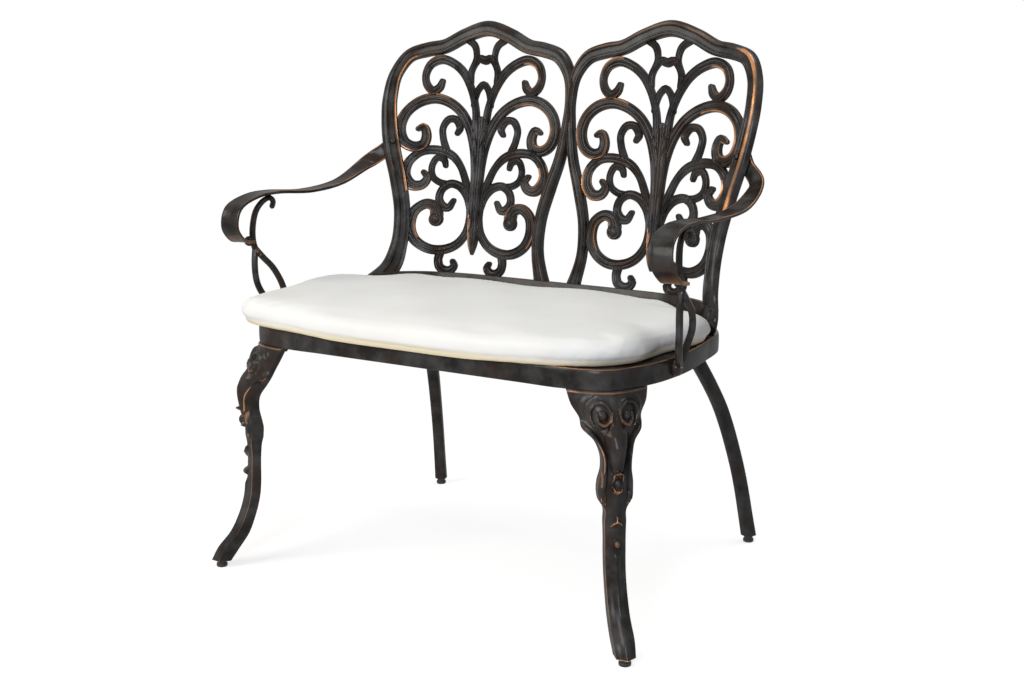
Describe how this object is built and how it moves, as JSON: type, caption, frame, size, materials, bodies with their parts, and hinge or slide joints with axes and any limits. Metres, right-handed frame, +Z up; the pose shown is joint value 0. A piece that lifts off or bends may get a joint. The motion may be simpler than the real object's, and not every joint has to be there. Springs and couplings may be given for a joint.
{
  "type": "garden bench",
  "caption": "Cast aluminium garden bench with an openwork scroll back in two arched panels, drooping arms on forked posts, carved front legs and a loose seat cushion.",
  "frame": {"origin": "on the floor under the middle of the bench's overall width and depth", "axes": "+Z up, the front faces -Y; left in the node names is -X, as seen from the front"},
  "size_m": [0.8294, 0.6052, 0.9002],
  "materials": {
    "bronze_casting": "dark bronze coating with copper rubbed through on the raised edges",
    "dark_steel": "dark coated",
    "black_plastic": "matt",
    "cream_canvas": "woven, matt"
  },
  "bodies": {
    "frame": {"back_panel": "bronze_casting", "seat_frame": "bronze_casting", "left_arm": "bronze_casting", "right_arm": "bronze_casting", "left_front_leg": "bronze_casting", "right_front_leg": "bronze_casting", "left_rear_leg": "bronze_casting", "right_rear_leg": "bronze_casting", "left_arm_back_bolt": "dark_steel", "left_arm_back_nut": "dark_steel", "left_arm_seat_bolt": "dark_steel", "left_front_leg_bolt_1": "dark_steel", "left_front_leg_bolt_2": "dark_steel", "left_rear_leg_bolt_1": "dark_steel", "left_rear_leg_bolt_2": "dark_steel", "right_arm_back_bolt": "dark_steel", "right_arm_back_nut": "dark_steel", "right_arm_seat_bolt": "dark_steel", "right_front_leg_bolt_1": "dark_steel", "right_front_leg_bolt_2": "dark_steel", "right_rear_leg_bolt_1": "dark_steel", "right_rear_leg_bolt_2": "dark_steel", "back_seat_bolt_1": "dark_steel", "back_seat_bolt_2": "dark_steel", "back_seat_bolt_3": "dark_steel", "back_seat_bolt_4": "dark_steel"},
    "cushion": {"seat_cushion": "cream_canvas"},
    "left_front_glide": {"left_front_glide": "black_plastic"},
    "left_rear_glide": {"left_rear_glide": "black_plastic"},
    "right_front_glide": {"right_front_glide": "black_plastic"},
    "right_rear_glide": {"right_rear_glide": "black_plastic"}
  },
  "joints": [
    {"name": "cushion_lift", "type": "slide", "parent": "frame", "child": "cushion", "axis": [0, 0, 1], "range_m": [0, 0.15]},
    {"name": "left_front_glide_level", "type": "slide", "parent": "frame", "child": "left_front_glide", "axis": [0, 0, -1], "range_m": [0, 0.008]},
    {"name": "left_rear_glide_level", "type": "slide", "parent": "frame", "child": "left_rear_glide", "axis": [0, 0, -1], "range_m": [0, 0.008]},
    {"name": "right_front_glide_level", "type": "slide", "parent": "frame", "child": "right_front_glide", "axis": [0, 0, -1], "range_m": [0, 0.008]},
    {"name": "right_rear_glide_level", "type": "slide", "parent": "frame", "child": "right_rear_glide", "axis": [0, 0, -1], "range_m": [0, 0.008]}
  ]
}
